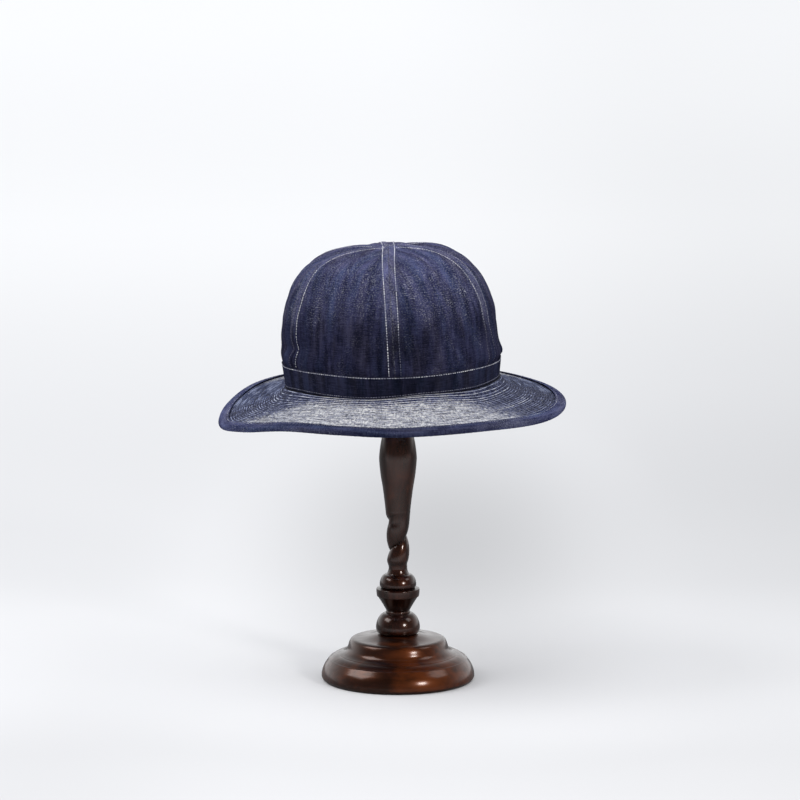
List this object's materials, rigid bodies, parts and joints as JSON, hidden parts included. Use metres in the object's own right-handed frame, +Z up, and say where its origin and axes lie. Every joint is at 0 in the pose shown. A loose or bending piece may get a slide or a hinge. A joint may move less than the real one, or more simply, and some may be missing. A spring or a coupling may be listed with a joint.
{
  "type": "army hat on turned wooden hat stand",
  "caption": "Denim army work hat with a seamed round crown, a band and a row-stitched, bound brim, on a dark turned wooden hat stand with a twisted column.",
  "frame": {"origin": "centre of the stand's flat underside", "axes": "+Z up, and the hat's front faces -Y, so +X is the right side of the picture"},
  "size_m": [0.3057, 0.3159, 0.388],
  "materials": {
    "dark_wood": "dark reddish brown stain under a glossy clear coat",
    "denim": "raw indigo denim with pale slubs, matt",
    "stitched_denim": "indigo denim under close rows of white stitching, matt",
    "binding_denim": "folded indigo denim tape, matt"
  },
  "bodies": {
    "root": {"stand_base": "dark_wood", "stand_column": "dark_wood", "stand_head": "dark_wood", "crown_panel_front_right": "denim", "crown_panel_right": "denim", "crown_panel_back_right": "denim", "crown_panel_back_left": "denim", "crown_panel_left": "denim", "crown_panel_front_left": "denim", "hat_band": "denim", "brim": "stitched_denim", "brim_binding": "binding_denim"}
  },
  "joints": []
}
